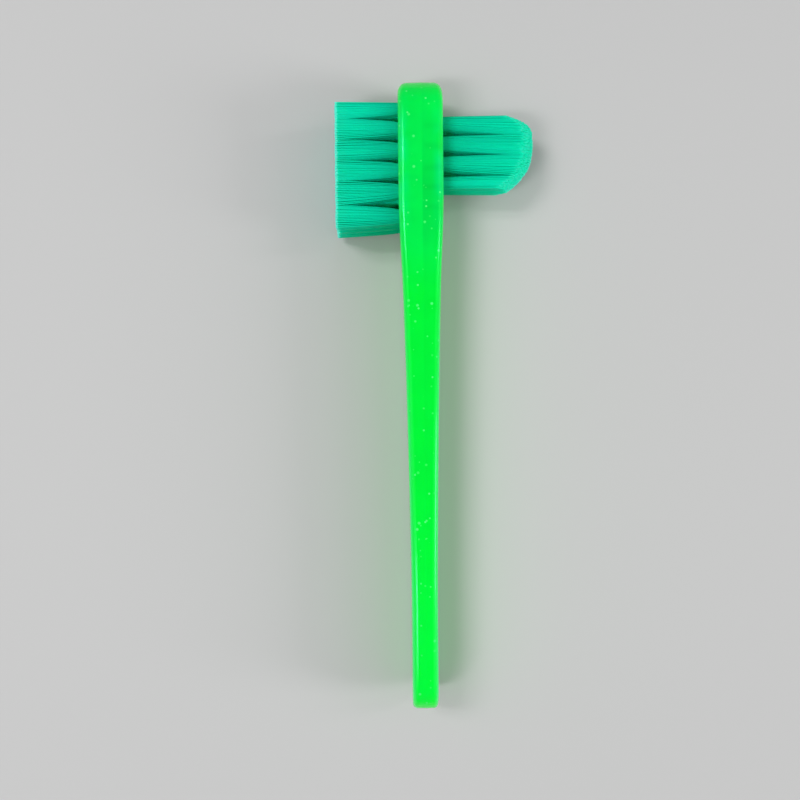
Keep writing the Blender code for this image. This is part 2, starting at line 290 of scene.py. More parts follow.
def blend_colours(tree, share, first, second):
    """The first colour where the share is 0, and the second where it is 1."""
    node = add_node(tree, "ShaderNodeMix", data_type="RGBA")
    feed(tree, node.inputs["Factor"], share)
    feed(tree, node.inputs["A"], first)
    feed(tree, node.inputs["B"], second)
    return node.outputs["Result"]


def times_factor(tree, colour_socket, factor_socket):
    """A colour multiplied by a factor."""
    node = add_node(tree, "ShaderNodeVectorMath", operation="SCALE")
    tree.links.new(colour_socket, node.inputs[0])
    tree.links.new(factor_socket, node.inputs["Scale"])
    return node.outputs[0]


NODE_WIDTH = 260
NODE_HEIGHT = 320


def spread_nodes(tree):
    """Places a tree's nodes in columns, by how many steps they are from its end."""
    ends = [node for node in tree.nodes if not any(socket.is_linked for socket in node.outputs)]
    steps = {node: 0 for node in ends}
    waiting = list(ends)
    while waiting:
        node = waiting.pop()
        for socket in node.inputs:
            for link in socket.links:
                if steps.get(link.from_node, -1) < steps[node] + 1:
                    steps[link.from_node] = steps[node] + 1
                    waiting.append(link.from_node)
    filled = {}
    for node in tree.nodes:
        column = steps.get(node, 0)
        row = filled.get(column, 0)
        node.location = (-NODE_WIDTH * column, -NODE_HEIGHT * row)
        filled[column] = row + 1


def rgba(value, share=1.0):
    """A share of a colour, with full opacity."""
    return (*(share * channel for channel in value), 1.0)


def object_place(tree):
    """The X, Y and Z of a point in the object's own space."""
    where = add_node(tree, "ShaderNodeTexCoord")
    split = add_node(tree, "ShaderNodeSeparateXYZ")
    tree.links.new(where.outputs["Object"], split.inputs[0])
    return split.outputs["X"], split.outputs["Y"], split.outputs["Z"]


def mottle_group():
    """Soft, slow change of tone over a surface: the factor that a colour is multiplied by."""
    name = "soft_mottle"
    if name in bpy.data.node_groups:
        return bpy.data.node_groups[name]
    tree = bpy.data.node_groups.new(name, "ShaderNodeTree")
    for label, default in (("Scale", 100.0), ("Amount", 0.1)):
        socket = tree.interface.new_socket(label, in_out="INPUT", socket_type="NodeSocketFloat")
        socket.default_value = default
    tree.interface.new_socket("Factor", in_out="OUTPUT", socket_type="NodeSocketFloat")
    given = add_node(tree, "NodeGroupInput")
    result = add_node(tree, "NodeGroupOutput")
    where = add_node(tree, "ShaderNodeTexCoord")
    pattern = add_node(tree, "ShaderNodeTexNoise", input_3=2.0)
    tree.links.new(where.outputs["Object"], pattern.inputs["Vector"])
    tree.links.new(given.outputs["Scale"], pattern.inputs["Scale"])
    centred = work_out(tree, "SUBTRACT", pattern.outputs["Fac"], 0.5)
    factor = work_out(tree, "MULTIPLY_ADD", centred, given.outputs["Amount"], 1.0)
    tree.links.new(factor, result.inputs["Factor"])
    spread_nodes(tree)
    return tree


def add_mottle(tree, scale, strength):
    """Places the group in a material with its own values."""
    node = add_node(tree, "ShaderNodeGroup", node_tree=mottle_group())
    node.inputs["Scale"].default_value = scale
    node.inputs["Amount"].default_value = strength
    return node.outputs["Factor"]


def add_noise(tree, scale, detail):
    """Noise in the object's own space."""
    where = add_node(tree, "ShaderNodeTexCoord")
    pattern = add_node(tree, "ShaderNodeTexNoise", input_2=scale, input_3=detail)
    tree.links.new(where.outputs["Object"], pattern.inputs["Vector"])
    return pattern.outputs["Fac"]


FLAKE_CORE = 0.4
LONE_FLAKES = 0.25
DULLEST_FLAKE = 0.3
CLUSTER_LIMITS = (0.4, 0.62)


def add_flakes(tree, cell, share, radius):
    """Mask of round flakes strewn in loose clusters, one to a cell at most and only in a share of cells.

    The radius is a share of the cell.
    """
    where = add_node(tree, "ShaderNodeTexCoord")
    cells = add_node(tree, "ShaderNodeTexVoronoi", input_2=1.0 / cell)
    tree.links.new(where.outputs["Object"], cells.inputs["Vector"])
    chance = add_node(tree, "ShaderNodeSeparateColor")
    tree.links.new(cells.outputs["Color"], chance.inputs["Color"])
    near = fade(tree, cells.outputs["Distance"], radius, radius * FLAKE_CORE)
    clusters = fade(tree, add_noise(tree, scale=130.0, detail=1.0), *CLUSTER_LIMITS)
    limit = work_out(tree, "MULTIPLY_ADD", clusters, share, LONE_FLAKES * share)
    chosen = work_out(tree, "LESS_THAN", chance.outputs["Red"], limit)
    glint = between(tree, chance.outputs["Green"], DULLEST_FLAKE, 1.0)
    return product(tree, near, chosen, glint)


# Counted in row pitches, so 0.5 is midway between two rows
MIDWAY = 0.5
MIDWAY_FADE = (0.22, MIDWAY)
FIRST_FADE = (0.2, 0.8)
LAST_FADE = (0.2, 0.6)
ROW_STRAY = 0.15

ROW_DEPTH = 1.2 * MM


def add_row_shade(tree, place, side, first_row, rows):
    """Mask of dark stretches below the first row on one side of the head, a row's pitch apart."""
    x, y, _ = place
    strayed = between(tree, add_noise(tree, scale=150.0, detail=1.0), -ROW_STRAY, ROW_STRAY)
    row = work_out(tree, "DIVIDE", work_out(tree, "SUBTRACT", first_row, y), ROW_PITCH)
    off_row = work_out(tree, "PINGPONG", work_out(tree, "ADD", row, strayed), MIDWAY)
    rows_left = work_out(tree, "SUBTRACT", rows, row)
    outwards = work_out(tree, "MULTIPLY", x, side)
    return product(
        tree,
        fade(tree, off_row, *MIDWAY_FADE),
        fade(tree, row, *FIRST_FADE),
        fade(tree, rows_left, *LAST_FADE),
        fade(tree, outwards, 0.0, ROW_DEPTH),
    )


GLOW_DEPTHS = (2.6 * MM, 0.5 * MM)
GLOW_START = (-0.6 * ROW_PITCH, 0.8 * ROW_PITCH)
GLOW_STOP = (6.4 * ROW_PITCH, 4.2 * ROW_PITCH)
GLOW_PATCHES = (0.25, 0.65)


def add_root_show_through_and_reflection(tree, place):
    """Mask of the head beside the tufts, where their roots' colour shows through near both broad faces,
    together with painted reflection of the tufts.
    """
    x, y, _ = place
    outwards = work_out(tree, "ABSOLUTE", work_out(tree, "SUBTRACT", x, MIDDLE.x))
    deep, shallow = (HEAD_THICKNESS / 2 - depth for depth in GLOW_DEPTHS)
    below_first = work_out(tree, "SUBTRACT", FIRST_FLAT_ROW, y)
    return product(
        tree,
        fade(tree, outwards, deep, shallow),
        fade(tree, below_first, *GLOW_START),
        fade(tree, below_first, *GLOW_STOP),
        fade(tree, add_noise(tree, scale=190.0, detail=1.0), *GLOW_PATCHES),
    )


RIM_DEPTHS = (3.0 * MM, 1.2 * MM)
END_RIM_DEPTHS = (3.5 * MM, 1.2 * MM)


def near_outline(tree, height, from_head):
    """Mask of the stretch along the handle's outline in plan, which leaves the broad faces' middles out."""
    deep, shallow = (HANDLE_WIDTH / 2 - depth for depth in RIM_DEPTHS)
    side = fade(tree, height, deep, shallow)
    from_tail = work_out(tree, "SUBTRACT", HANDLE_LENGTH, from_head)
    from_end = work_out(tree, "MINIMUM", from_head, from_tail)
    return work_out(tree, "MAXIMUM", side, fade(tree, from_end, *END_RIM_DEPTHS))


# Pairs of distances from the head end, between which the head's deeper tone, the tail's painted light, the
# rims' painted light and the domed half's painted shade come in
DEEP_TONE_FADE = (44.0 * MM, 30.0 * MM)
TAIL_FADE = (75.0 * MM, 115.0 * MM)
LOWER_RIM_FADE = (30.0 * MM, 70.0 * MM)
HALF_STARTS = (6.0 * MM, 26.0 * MM)
HALF_ENDS = (42.0 * MM, 24.0 * MM)

# The same from the middle, across the handle's width
NARROW_SIDE_FADE = (4.6 * MM, 5.8 * MM)

SEAM_BLUR = 0.12 * MM
# Painted light: the tail's plastic is made this much brighter, as though more light fell on it
TAIL_LIGHT = 1.11
HEAD_RIM_SHARE = 0.38
LEAST_HALF_SHARE = 0.25
FLAT_ROW_SHARE = 0.4


def blended_plastic(tree, settings, place, from_head, height):
    """The plastic's colour: deeper towards the head, tinted beside the tufts by their roots showing through
    and by painted reflection of them, and pale at the rims with painted light.
    """
    deep_tone = fade(tree, from_head, *DEEP_TONE_FADE)
    blend = blend_colours(tree, deep_tone, rgba(settings.plastic), rgba(settings.deep_tone))
    roots_and_reflection = product(tree, add_root_show_through_and_reflection(tree, place), settings.root_show)
    blend = blend_colours(tree, roots_and_reflection, blend, rgba(settings.roots))
    rim = add_node(tree, "ShaderNodeAttribute", attribute_name="rim")
    strength = between(tree, fade(tree, from_head, *LOWER_RIM_FADE), HEAD_RIM_SHARE, 1.0)
    outline = near_outline(tree, height, from_head)
    share = product(tree, rim.outputs["Fac"], strength, outline, settings.edge_light_show)
    return blend_colours(tree, share, blend, rgba(settings.rim))


def row_tone(tree, settings, place, height):
    """Factor that darkens stretches of the narrow side, where less light comes through between the rows."""
    flat_rows = add_row_shade(tree, place, side=-1.0, first_row=FIRST_FLAT_ROW, rows=6.0)
    dome_rows = add_row_shade(tree, place, side=1.0, first_row=FIRST_DOME_ROW, rows=5.0)
    rows = work_out(tree, "MAXIMUM", product(tree, flat_rows, FLAT_ROW_SHARE), dome_rows)
    rows = product(tree, rows, fade(tree, height, *NARROW_SIDE_FADE))
    return between(tree, rows, 1.0, 1.0 - settings.row_shade)


def painted_half_shade(tree, settings, x, from_head):
    """Factor that darkens the domed half with painted shade, as though less light fell on it than on the flat
    half, which the parting line divides from it; most in the head.
    """
    off_seam = work_out(tree, "SUBTRACT", x, settings.seam_offset)
    domed_half = fade(tree, off_seam, -SEAM_BLUR, SEAM_BLUR)
    zone = product(tree, fade(tree, from_head, *HALF_ENDS), fade(tree, from_head, *HALF_STARTS))
    share = product(tree, domed_half, between(tree, zone, LEAST_HALF_SHARE, 1.0))
    return between(tree, share, 1.0, 1.0 - settings.half_shade)


def plastic_colour(tree, settings):
    """Neon green with its own tones, its painted shade and its painted light."""
    x, y, z = place = object_place(tree)
    from_head = work_out(tree, "SUBTRACT", HEAD_END, y)
    height = work_out(tree, "ABSOLUTE", work_out(tree, "SUBTRACT", z, MIDDLE.z))
    blend = blended_plastic(tree, settings, place, from_head, height)
    # Painted shade on the domed half and between the rows, painted light on the tail, and the plastic's own
    # mottle
    tone = product(
        tree,
        painted_half_shade(tree, settings, x, from_head),
        between(tree, fade(tree, from_head, *TAIL_FADE), 1.0, TAIL_LIGHT),
        add_mottle(tree, scale=160.0, strength=0.14),
        row_tone(tree, settings, place, height),
    )
    return times_factor(tree, blend, tone)


def plastic_material(settings):
    """Clear neon plastic: light spreads under its skin, and flakes glint in it."""
    material, tree, shader = new_material("neon_glitter_plastic")
    body = plastic_colour(tree, settings)
    coarse = add_flakes(tree, cell=1.5 * MM, share=0.4, radius=0.24)
    fine = add_flakes(tree, cell=0.9 * MM, share=0.2, radius=0.28)
    flakes = work_out(tree, "MAXIMUM", coarse, fine)
    # The flakes are real; their pale colour is a painted glint
    body = blend_colours(tree, flakes, body, rgba(settings.glitter))
    tree.links.new(body, shader.inputs["Base Color"])
    bump = add_node(tree, "ShaderNodeBump")
    bump.inputs["Strength"].default_value = 0.12
    bump.inputs["Distance"].default_value = 0.2 * MM
    tree.links.new(add_noise(tree, scale=260.0, detail=2.0), bump.inputs["Height"])
    tree.links.new(bump.outputs["Normal"], shader.inputs["Normal"])
    shader.inputs["Roughness"].default_value = 0.12
    shader.inputs["Specular IOR Level"].default_value = 0.7
    shader.inputs["Specular Tint"].default_value = (0.1, 1.0, 0.35, 1.0)
    shader.inputs["Subsurface Weight"].default_value = 0.8
    shader.inputs["Subsurface Radius"].default_value = (0.3, 1.0, 0.4)
    shader.inputs["Subsurface Scale"].default_value = 2.5 * MM
    spread_nodes(tree)
    return material


# Painted shade at the root and painted light at the tip, as shares of the nylon's colour along a filament
ROOT_SHADE = 0.72
TIP_LIGHT = 1.08
TONES_BETWEEN = ((0.3, 0.88), (0.6, 1.0))
TIP_END_LIGHT = 1.14

# Distances from the tip in millimetres, between which the painted light at the very tip and the cut end's
# colour come in
TIP_END_LIGHT_FADE = (1.0, 0.2)
CUT_END_FADE = (0.45, 0.25)


def nylon_material(settings):
    """Nylon filaments, with painted shade that deepens towards the root and painted light near the tip, and
    pale at the cut.

    V runs from the root to the tip, and U is the distance from the tip in millimetres.
    """
    material, tree, shader = new_material("teal_nylon")
    along = add_node(tree, "ShaderNodeUVMap", uv_map="along")
    split = add_node(tree, "ShaderNodeSeparateXYZ")
    tree.links.new(along.outputs["UV"], split.inputs[0])
    from_tip = split.outputs["X"]
    rise = add_node(tree, "ShaderNodeValToRGB")
    ramp = rise.color_ramp
    ramp.elements[0].color = rgba(settings.nylon, ROOT_SHADE)
    ramp.elements[1].color = rgba(settings.nylon, TIP_LIGHT)
    for position, share in TONES_BETWEEN:
        ramp.elements.new(position).color = rgba(settings.nylon, share)
    tree.links.new(split.outputs["Y"], rise.inputs["Fac"])
    # The tone attribute holds each filament's own random tone, times the flanks' painted shade and the inner
    # painted light
    tone = add_node(tree, "ShaderNodeAttribute", attribute_name="tone")
    body = times_factor(tree, rise.outputs["Color"], tone.outputs["Fac"])
    capped = add_node(tree, "ShaderNodeVectorMath", operation="MINIMUM", input_1=(1.0, 1.0, 1.0))
    tree.links.new(body, capped.inputs[0])
    near_tip = fade(tree, from_tip, *TIP_END_LIGHT_FADE)
    body = blend_colours(tree, near_tip, capped.outputs[0], rgba(settings.nylon, TIP_END_LIGHT))
    pale_end = add_node(tree, "ShaderNodeAttribute", attribute_name="pale_end")
    at_tip = product(tree, fade(tree, from_tip, *CUT_END_FADE), pale_end.outputs["Fac"])
    body = blend_colours(tree, at_tip, body, rgba(settings.cut_end))
    tree.links.new(body, shader.inputs["Base Color"])
    shader.inputs["Roughness"].default_value = 0.42
    shader.inputs["Specular IOR Level"].default_value = 0.22
    shader.inputs["Specular Tint"].default_value = (0.3, 1.0, 0.85, 1.0)
    shader.inputs["Subsurface Weight"].default_value = 0.3
    shader.inputs["Subsurface Radius"].default_value = (0.2, 1.0, 0.8)
    shader.inputs["Subsurface Scale"].default_value = 0.3 * MM
    spread_nodes(tree)
    return material


DARK_BRASS = (0.5, 0.35, 0.12)
PALE_BRASS = (0.75, 0.57, 0.26)


def anchor_material():
    """Drawn flat wire, with a fine grain."""
    material, tree, shader = new_material("anchor_wire")
    grain = add_noise(tree, scale=4000.0, detail=3.0)
    body = blend_colours(tree, grain, rgba(DARK_BRASS), rgba(PALE_BRASS))
    tree.links.new(body, shader.inputs["Base Color"])
    shader.inputs["Metallic"].default_value = 1.0
    shader.inputs["Roughness"].default_value = 0.35
    spread_nodes(tree)
    return material


def thickness_at(distance, settings):
    """Thickness of the handle at a distance from its head end, on a smooth curve through its knots."""
    knots = (
        (settings.head_run, HEAD_THICKNESS),
        (settings.waist_at, settings.waist_thickness),
        (settings.grip_at, settings.grip_thickness),
        (settings.stem_at, settings.stem_thickness),
        (settings.tail_at, settings.tail_thickness),
    )
    if distance <= settings.head_run:
        return HEAD_THICKNESS
    slopes = [(after[1] - before[1]) / (after[0] - before[0]) for before, after in zip(knots, knots[2:])]
    slopes = [0.0, *slopes, 0.0]
    for i, ((start, first), (end, last)) in enumerate(zip(knots, knots[1:])):
        if distance <= end:
            span = end - start
            t = (distance - start) / span
            ease = t * t * (3 - 2 * t)
            rise = span * (slopes[i] * t * (1 - t) ** 2 - slopes[i + 1] * t * t * (1 - t))
            return first + (last - first) * ease + rise
    return settings.tail_thickness


class Tuft:
    """Where a packed tuft stands: the side that it is on, its box, its anchor's box and its hole's middle."""

    def __init__(self, node):
        self.node = node
        self.brush = node.split("_")[0]
        self.side = -1 if self.brush == "flat" else 1
        self.low, self.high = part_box(node)
        self.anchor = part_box(node.replace("tuft", "anchor"))
        self.hole = (self.anchor[0] + self.anchor[1]) / 2
        self.root = self.low.x if self.side > 0 else self.high.x
        self.tip = self.high.x if self.side > 0 else self.low.x


TAPER_STATIONS = 48
CORNER_SEGMENTS = 20
EDGE_SEGMENTS = 6
HOLE_SIDES = 40
HANDLE_SMOOTH_ANGLE = math.radians(32.0)
BROAD_FACE_NORMAL = 0.5
CUTTER_REACH = 1.0 * MM
HOLE_PLAY = 0.05 * MM
ANCHOR_MARK = 3.1 * MM
ANCHOR_EXTRA_Y = 0.15 * MM
ANCHOR_EXTRA_Z = 0.26 * MM
NEAR = 1e-6


def block_out_handle(settings):
    """The head's slab with its four rounded corners in plan."""
    deselect_all()
    bpy.ops.mesh.primitive_cube_add(
        size=1.0, location=MIDDLE, scale=(HEAD_THICKNESS, HANDLE_LENGTH, HANDLE_WIDTH)
    )
    handle = bpy.context.object
    apply_place(handle)
    start_edit(handle, "EDGE")
    for end, radius in ((1, settings.head_corner), (-1, settings.tail_corner)):
        select_where(handle, "edges", lambda edge: is_corner(edge, end))
        bpy.ops.mesh.bevel(offset=radius, segments=CORNER_SEGMENTS, affect="EDGES", clamp_overlap=False)
    end_edit()
    return handle


def is_corner(edge, end):
    """Whether an edge runs across the handle's thickness at one end of the slab."""
    first, second = (vert.co for vert in edge.verts)
    across = abs(first.y - second.y) < NEAR and abs(first.z - second.z) < NEAR
    return across and abs(first.y - (MIDDLE.y + end * HANDLE_LENGTH / 2)) < NEAR


def taper_handle(handle, settings):
    """Cuts the slab at stations along its length and narrows each one."""
    start = settings.head_run
    stop = HANDLE_LENGTH - settings.tail_corner
    stations = [start + (stop - start) * i / TAPER_STATIONS for i in range(TAPER_STATIONS)]
    start_edit(handle, "VERT")
    for distance in stations:
        bpy.ops.mesh.select_all(action="SELECT")
        bpy.ops.mesh.bisect(plane_co=(0.0, HEAD_END - distance, 0.0), plane_no=(0.0, 1.0, 0.0))
    for distance in stations:
        narrow(handle, settings, distance, lambda vert: abs(HEAD_END - vert.co.y - distance) < NEAR)
    narrow(handle, settings, stop, lambda vert: HEAD_END - vert.co.y > stop - NEAR)
    end_edit()


def narrow(handle, settings, distance, test):
    """Gives the points that pass a test the thickness that the handle has at a distance."""
    select_where(handle, "verts", test)
    share = thickness_at(distance, settings) / HEAD_THICKNESS
    bpy.ops.transform.resize(value=(share, 1.0, 1.0), center_override=tuple(MIDDLE))


def raise_seam(handle, settings):
    """Splits the narrow side at the parting line, drafts both halves and leaves a fine ridge there."""
    start_edit(handle, "EDGE")
    bpy.ops.mesh.select_all(action="SELECT")
    seam = MIDDLE.x + settings.seam_offset
    bpy.ops.mesh.bisect(plane_co=(seam, 0.0, 0.0), plane_no=(1.0, 0.0, 0.0))
    bpy.ops.transform.shrink_fatten(value=settings.draft)
    select_where(handle, "edges", lambda edge: in_plane(edge, seam))
    bpy.ops.mesh.bevel(offset=settings.seam_width / 2, segments=2, affect="EDGES", clamp_overlap=False)
    select_where(handle, "edges", lambda edge: in_plane(edge, seam))
    bpy.ops.transform.shrink_fatten(value=settings.seam_height)
    end_edit()


def in_plane(edge, x):
    return all(abs(vert.co.x - x) < NEAR for vert in edge.verts)


def round_edges(handle, settings):
    """Rounds the long edges of both broad faces, more so at the two ends."""
    bm = bmesh.new()
    bm.from_mesh(handle.data)
    weight = bm.edges.layers.float.new("bevel_weight_edge")
    widest = settings.head_edge
    for edge in bm.edges:
        steep = sorted(abs(face.normal.x) for face in edge.link_faces)
        if len(steep) == 2 and steep[0] < BROAD_FACE_NORMAL < steep[1]:
            edge[weight] = edge_radius_at(edge, settings) / widest
    bm.to_mesh(handle.data)
    bm.free()
    rounding = handle.modifiers.new("edge rounding", "BEVEL")
    rounding.limit_method = "WEIGHT"
    rounding.width = widest
    rounding.segments = EDGE_SEGMENTS
    rounding.use_clamp_overlap = False
    apply_modifier(handle, rounding)


def edge_radius_at(edge, settings):
    """The rounding of a broad face's edge, which grows as the outline turns round an end."""
    distance = HEAD_END - (edge.verts[0].co.y + edge.verts[1].co.y) / 2
    if distance < settings.head_corner:
        turn = 1 - distance / settings.head_corner
        return settings.side_edge + (settings.head_edge - settings.side_edge) * turn**2
    from_tail = HANDLE_LENGTH - distance
    if from_tail < settings.tail_corner:
        turn = 1 - from_tail / settings.tail_corner
        return settings.side_edge + (settings.tail_edge - settings.side_edge) * turn**2
    return settings.side_edge


def anchor_slant(low, high):
    """The slant of the bar in an anchor's box, less what the bar's own width adds to the box's sides."""
    return math.atan2(high.z - low.z - ANCHOR_EXTRA_Z, high.y - low.y - ANCHOR_EXTRA_Y)


def drill_handle(handle, settings):
    """Cuts the tufts' holes, each with the marks that its anchor leaves as it is driven in."""
    bores, grooves = [], []
    for node in TUFT_NODES:
        tuft = Tuft(node)
        outside = tuft.side * (HEAD_THICKNESS / 2 + CUTTER_REACH)
        bottom = tuft.root - tuft.side * HOLE_PLAY
        deselect_all()
        bpy.ops.mesh.primitive_cylinder_add(
            vertices=HOLE_SIDES,
            radius=settings.hole / 2,
            depth=abs(outside - bottom),
            location=((outside + bottom) / 2, tuft.hole.y, tuft.hole.z),
            rotation=(0.0, math.pi / 2, 0.0),
        )
        bores.append(bpy.context.object)
        low, high = tuft.anchor
        seat = low.x if tuft.side > 0 else high.x
        deselect_all()
        bpy.ops.mesh.primitive_cube_add(
            size=1.0,
            location=((outside + seat) / 2, tuft.hole.y, tuft.hole.z),
            rotation=(anchor_slant(low, high), 0.0, 0.0),
            scale=(abs(outside - seat), ANCHOR_MARK, settings.groove),
        )
        grooves.append(bpy.context.object)
    for name, cutters in (("bores", bores), ("grooves", grooves)):
        cut_all(handle, name, cutters)


def cut_all(item, name, cutters):
    """Joins cutters into one mesh, and takes its shape out of item."""
    deselect_all()
    for cutter in cutters:
        cutter.select_set(True)
    bpy.context.view_layer.objects.active = cutters[0]
    bpy.ops.object.transform_apply(location=True, rotation=True, scale=True)
    bpy.ops.object.join()
    joined = bpy.context.object
    cut = item.modifiers.new(name, "BOOLEAN")
    cut.operation = "DIFFERENCE"
    cut.solver = "EXACT"
    cut.object = joined
    apply_modifier(item, cut)
    bpy.data.objects.remove(joined, do_unlink=True)


def mark_edge_light(handle, settings):
    """Keeps on each point how near it is to a broad face, for the painted light along the rounded edges."""
    shares = []
    for vert in handle.data.vertices:
        half = thickness_at(HEAD_END - vert.co.y, settings) / 2
        inset = half - abs(vert.co.x)
        share = min(1.0, max(0.0, 1.0 - inset / settings.side_edge))
        shares.append(share * share)
    attribute = handle.data.attributes.new("rim", "FLOAT", "POINT")
    attribute.data.foreach_set("value", shares)


class RETAINERBRUSH_OT_handle(bpy.types.Operator):
    """Models the moulded handle with its parting line, rounded edges and drilled holes"""

    bl_idname = "retainer_brush.handle"
    bl_label = "Handle"

    def execute(self, context):
        settings = context.scene.brush_handle
        handle = block_out_handle(settings)
        taper_handle(handle, settings)
        raise_seam(handle, settings)
        round_edges(handle, settings)
        drill_handle(handle, settings)
        mark_edge_light(handle, settings)
        activate(handle)
        bpy.ops.object.shade_smooth_by_angle(angle=HANDLE_SMOOTH_ANGLE)
        material = plastic_material(settings)
        finish_piece(handle, "handle_moulding", material, "handle_plastic", "handle")
        return {"FINISHED"}


FILAMENT_SIDES = 6
FILAMENT_END = 1.004
FILAMENT_SMOOTH_ANGLE = math.radians(65.0)
CUT_END_WIDTH = 0.62
FACING_UP = 0.9


def model_filament(settings):
    """One filament, a metre long along Z: a six-sided rod in sections, with its cut end slightly rounded."""
    deselect_all()
    bpy.ops.mesh.primitive_cylinder_add(
        vertices=FILAMENT_SIDES, radius=0.5, depth=1.0, location=(0.0, 0.0, 0.5)
    )
    filament = bpy.context.object
    apply_place(filament)
    start_edit(filament, "VERT")
    for i in range(1, settings.sections):
        bpy.ops.mesh.select_all(action="SELECT")
        bpy.ops.mesh.bisect(plane_co=(0.0, 0.0, i / settings.sections), plane_no=(0.0, 0.0, 1.0))
    bpy.ops.mesh.select_mode(type="FACE")
    select_where(filament, "faces", lambda face: face.normal.z > FACING_UP)
    bpy.ops.mesh.extrude_region_move(TRANSFORM_OT_translate={"value": (0.0, 0.0, FILAMENT_END - 1.0)})
    bpy.ops.transform.resize(
        value=(CUT_END_WIDTH, CUT_END_WIDTH, 1.0), center_override=(0.0, 0.0, 1.0)
    )
    end_edit()
    return filament


def hexagonal_places(radius, spacing, turn):
    """Places in a disc on a triangular grid that is turned by an angle."""
    places = []
    row_spacing = spacing * math.sqrt(3) / 2
    rows = math.ceil(radius / row_spacing)
    for row in range(-rows, rows + 1):
        z = row * row_spacing
        for i in range(-rows - 1, rows + 2):
            y = (i + 0.5 * (row % 2)) * spacing
            if math.hypot(y, z) <= radius:
                turned_y = y * math.cos(turn) - z * math.sin(turn)
                turned_z = y * math.sin(turn) + z * math.cos(turn)
                places.append((turned_y, turned_z))
    return places


def spread_to_square(base, value):
    """One of a place's two coordinates in the square, from the same one in the disc."""
    reach = 2 * math.sqrt(2) * value
    return (math.sqrt(max(0.0, base + reach)) - math.sqrt(max(0.0, base - reach))) / 2


def squared(y, z, share):
    """A place in the unit disc, moved a share of the way to its place in the square round the disc."""
    difference = y * y - z * z
    square_y = spread_to_square(2 + difference, y)
    square_z = spread_to_square(2 - difference, z)
    return y + (square_y - y) * share, z + (square_z - z) * share


OUTER_PLAY = 0.3 * MM
OUTER_INSET = 0.3 * MM
HEADWARD_FALL = 4.0
TAILWARD_FALL = 2.7
FLAT_PALENESS = (0.7, 1.0)
DOME_PALENESS = (0.0, 0.5)
# Painted highlight on the dome's cut ends near its middle plane, where they face up
CREST_HIGHLIGHT = 0.8
CREST_BAND = 0.3


class Trim:
    """The surface that a brush's tips are cut to."""

    def __init__(self, tufts, settings):
        self.settings = settings
        self.domed = tufts[0].brush == "dome"
        self.unevenness = settings.frayed if self.domed else settings.ragged
        self.drift = settings.drift if self.domed else 0.0
        if self.domed:
            # The fray only shortens filaments, so the cut starts half of it too high
            self.top = HEAD_THICKNESS / 2 + settings.dome + settings.frayed / 2
        else:
            self.top = max(abs(tuft.tip) for tuft in tufts)
        self.low = Vector([min(tuft.low[axis] for tuft in tufts) for axis in range(3)])
        self.high = Vector([max(tuft.high[axis] for tuft in tufts) for axis in range(3)])
        self.half_width = self.high.z - MIDDLE.z

    def tip_reach(self, tuft):
        """How far a tuft's tips spread on each side of its hole, further where it has a neighbour."""
        reaches = []
        for axis, drift in ((1, self.drift), (2, 0.0)):
            for side, own, brush in ((-1, tuft.low, self.low), (1, tuft.high, self.high)):
                reach = own[axis] - tuft.hole[axis]
                if abs(own[axis] - brush[axis]) < OUTER_PLAY:
                    reaches.append(reach - side * OUTER_INSET)
                else:
                    reaches.append(reach + side * self.settings.mingle - drift)
        return reaches

    def faces_out(self, tuft, y):
        """Whether a filament on that side of its hole faces away from the brush, along the handle."""
        if y < 0:
            return abs(tuft.low.y - self.low.y) < OUTER_PLAY
        return abs(tuft.high.y - self.high.y) < OUTER_PLAY

    def height(self, y, z):
        """Distance of the cut from the handle's middle plane."""
        if not self.domed:
            return self.top + self.settings.lean * max(0.0, (MIDDLE.z - z) / self.half_width)
        crest = (self.low.y + self.high.y) / 2 + self.settings.crest
        if y > crest:
            fall = self.settings.end_drop * ((y - crest) / (self.high.y - crest)) ** HEADWARD_FALL
        else:
            fall = self.settings.end_drop * ((crest - y) / (crest - self.low.y)) ** TAILWARD_FALL
        off_middle = abs(z - MIDDLE.z) / self.half_width
        return self.top - fall - self.settings.side_drop * off_middle**2

    def paleness(self, z, chance):
        """How pale a filament's cut end is. The dome's ends are paler near its middle plane, where they face
        up, as a painted highlight.
        """
        if not self.domed:
            return chance.uniform(*FLAT_PALENESS)
        nearness = max(0.0, 1.0 - abs(z - MIDDLE.z) / (CREST_BAND * self.half_width))
        return min(1.0, chance.uniform(*DOME_PALENESS) ** 2 + CREST_HIGHLIGHT * nearness)


BUNDLE_RADIUS = 1.28 * MM
START_ABOVE_ANCHOR = 1.0 * MM
ROOT_STRAY = 0.3
BOW = (0.54, 0.64)
FILAMENT_TONES = (0.985, 1.015)
INNER_DEPTH = 1.5 * MM
INNER_FADE = 0.9 * MM
INNER_LOSS = 0.6
FLANK_RELIEF = 0.5


def inner_light(tuft, trim, settings, y, z, outermost):
    """How much painted light a filament's root gets for how deep in the brush it stands, standing in for
    light that comes through its neighbours.

    A tuft's side that faces out of the brush keeps the plain tone.
    """
    inside = trim.half_width - INNER_DEPTH - abs(tuft.hole.z + z - MIDDLE.z)
    inner = settings.inner_light * min(1.0, max(0.0, inside / INNER_FADE))
    if trim.faces_out(tuft, y):
        inner *= 1.0 - min(1.0, 2.0 * abs(y) / outermost)
    return inner


def tone_along(flank, inner, along):
    """Tone of a filament at a place between 0, its root, and 1, its tip.

    The flanks' painted shade is strongest midway, and the inner painted light is strongest at the root.
    """
    flank_tone = 1.0 - flank * (1.0 - FLANK_RELIEF * (2.0 * along - 1.0) ** 2)
    return flank_tone * (1.0 + inner * (1.0 - INNER_LOSS * along**3))


